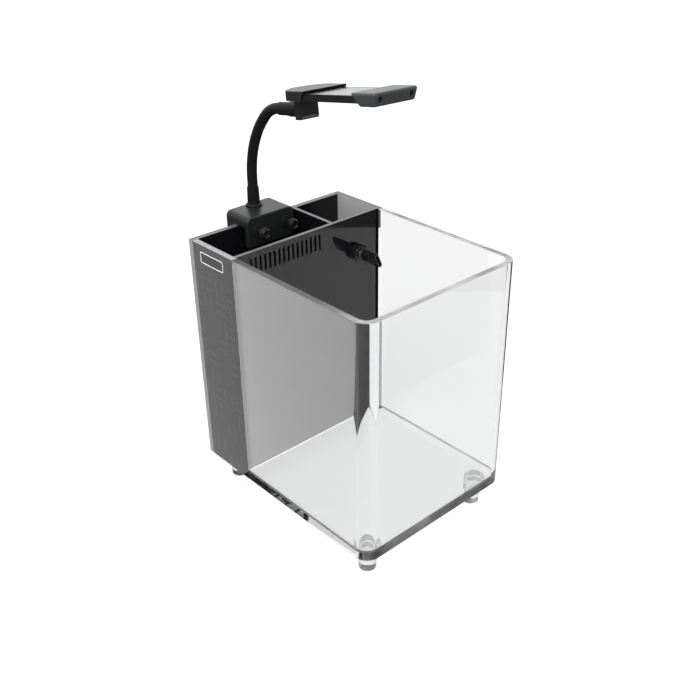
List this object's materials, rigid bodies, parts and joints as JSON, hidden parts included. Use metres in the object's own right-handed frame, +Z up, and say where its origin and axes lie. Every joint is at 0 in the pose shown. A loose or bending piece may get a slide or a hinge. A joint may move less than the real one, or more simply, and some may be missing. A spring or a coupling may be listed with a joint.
{
  "type": "desktop aquarium with clip-on lamp",
  "caption": "Clear desktop fish tank on stepped feet with a black rear filter compartment, comb weir, ball-jointed return nozzle, pump and clip-on gooseneck lamp.",
  "frame": {"origin": "on the table under the middle of the whole object, lamp clamp included", "axes": "+Z up, -Y towards the front clear wall, +X to the right seen from the front, where the pump chamber and the return nozzle are"},
  "size_m": [0.1584, 0.217, 0.3623],
  "materials": {
    "clear_acrylic": "polished clear acrylic",
    "black_acrylic": "glossy black acrylic sheet",
    "black_plastic": "moulded satin black",
    "lamp_plastic": "moulded satin black, fine texture",
    "neck_black": "satin black sleeve",
    "lamp_metal": "satin aluminium sheet",
    "steel": "turned steel",
    "impeller_white": "moulded off-white",
    "soft_rubber": "soft black rubber",
    "sponge": "open-cell black foam",
    "ceramic": "unglazed biscuit",
    "board_white": "white solder mask",
    "led": "clear resin over phosphor",
    "diffuser": "milky plastic"
  },
  "bodies": {
    "tank": {"base_plate": "clear_acrylic", "tank_shell": "clear_acrylic", "rear_panel": "black_acrylic", "left_side_panel": "black_acrylic", "right_side_panel": "black_acrylic", "overflow_divider": "black_acrylic", "chamber_partition": "black_acrylic", "foot_front_left": "clear_acrylic", "foot_front_right": "clear_acrylic", "foot_rear_left": "clear_acrylic", "foot_rear_right": "clear_acrylic", "nozzle_bulkhead": "black_plastic", "bulkhead_nut": "black_plastic", "return_hose": "soft_rubber", "pump_cover": "black_plastic", "pump_body": "black_plastic", "impeller_shaft": "steel", "suction_cups": "soft_rubber", "media_tray": "black_plastic", "ceramic_rings": "ceramic"},
    "ball": {"nozzle_ball": "black_plastic"},
    "fan": {"fan_nozzle": "black_plastic"},
    "rotor": {"impeller": "impeller_white"},
    "sponge": {"filter_sponge": "sponge"},
    "clamp": {"clamp_saddle": "lamp_plastic", "clamp_liner": "soft_rubber", "power_inlet": "lamp_plastic", "base_collar": "neck_black", "lower_ferrule": "neck_black", "gooseneck_lower": "neck_black"},
    "pad_left": {"screw_pad_left": "black_plastic"},
    "screw_left": {"thumbscrew_left": "black_plastic"},
    "pad_right": {"screw_pad_right": "black_plastic"},
    "screw_right": {"thumbscrew_right": "black_plastic"},
    "neck_middle": {"gooseneck_upper": "neck_black"},
    "neck_top": {"upper_ferrule": "neck_black", "upper_collar": "neck_black", "neck_spigot": "steel"},
    "lamp_head": {"swivel_block": "lamp_plastic", "rear_end_cap": "lamp_plastic", "front_end_cap": "lamp_plastic", "cap_screws": "steel", "left_rail": "lamp_plastic", "right_rail": "lamp_plastic", "lamp_panel": "lamp_metal", "led_board": "board_white", "leds": "led", "diffuser": "diffuser"}
  },
  "joints": [
    {"name": "clamp_lift", "type": "slide", "parent": "tank", "child": "clamp", "axis": [0, 0, 1], "range_m": [0, 0.035]},
    {"name": "neck_lean", "type": "hinge", "parent": "clamp", "child": "neck_middle", "pos_m": [-0.01, 0.1015, 0.2605], "axis": [0, 1, 0], "range_deg": [-20, 20], "deforming": ["gooseneck_lower"]},
    {"name": "neck_bend", "type": "hinge", "parent": "neck_middle", "child": "neck_top", "pos_m": [-0.01, 0.07787, 0.31727], "axis": [1, 0, 0], "range_deg": [-25, 20], "deforming": ["gooseneck_upper"]},
    {"name": "head_turn", "type": "hinge", "parent": "neck_top", "child": "lamp_head", "pos_m": [-0.01, 0.03349, 0.32978], "axis": [0, -0.9877, 0.1564], "range_deg": [-90, 90]},
    {"name": "nozzle_tilt", "type": "hinge", "parent": "tank", "child": "ball", "pos_m": [0.0503, 0.0362, 0.1955], "axis": [1, 0, 0], "range_deg": [-15, 15]},
    {"name": "nozzle_spin", "type": "hinge", "parent": "ball", "child": "fan", "pos_m": [0.0503, 0.0362, 0.1955], "axis": [0, 1, 0], "continuous": true},
    {"name": "impeller_spin", "type": "hinge", "parent": "tank", "child": "rotor", "pos_m": [0.0503, 0.07, 0.0514], "axis": [0, 1, 0], "continuous": true},
    {"name": "sponge_lift", "type": "slide", "parent": "tank", "child": "sponge", "axis": [0, 0, 1], "range_m": [0, 0.09]},
    {"name": "pad_travel_left", "type": "slide", "parent": "clamp", "child": "pad_left", "axis": [0, -1, 0], "range_m": [0, 0.0032]},
    {"name": "screw_turn_left", "type": "hinge", "parent": "pad_left", "child": "screw_left", "pos_m": [-0.0247, 0.066, 0.2254], "axis": [0, -1, 0], "range_deg": [0, 1440]},
    {"name": "pad_travel_right", "type": "slide", "parent": "clamp", "child": "pad_right", "axis": [0, -1, 0], "range_m": [0, 0.0032]},
    {"name": "screw_turn_right", "type": "hinge", "parent": "pad_right", "child": "screw_right", "pos_m": [0.0047, 0.066, 0.2254], "axis": [0, -1, 0], "range_deg": [0, 1440]}
  ],
  "couplings": [
    {"joint": "screw_turn_left", "follows": "pad_travel_left", "rad_per_m": 7854},
    {"joint": "screw_turn_right", "follows": "pad_travel_right", "rad_per_m": 7854}
  ]
}
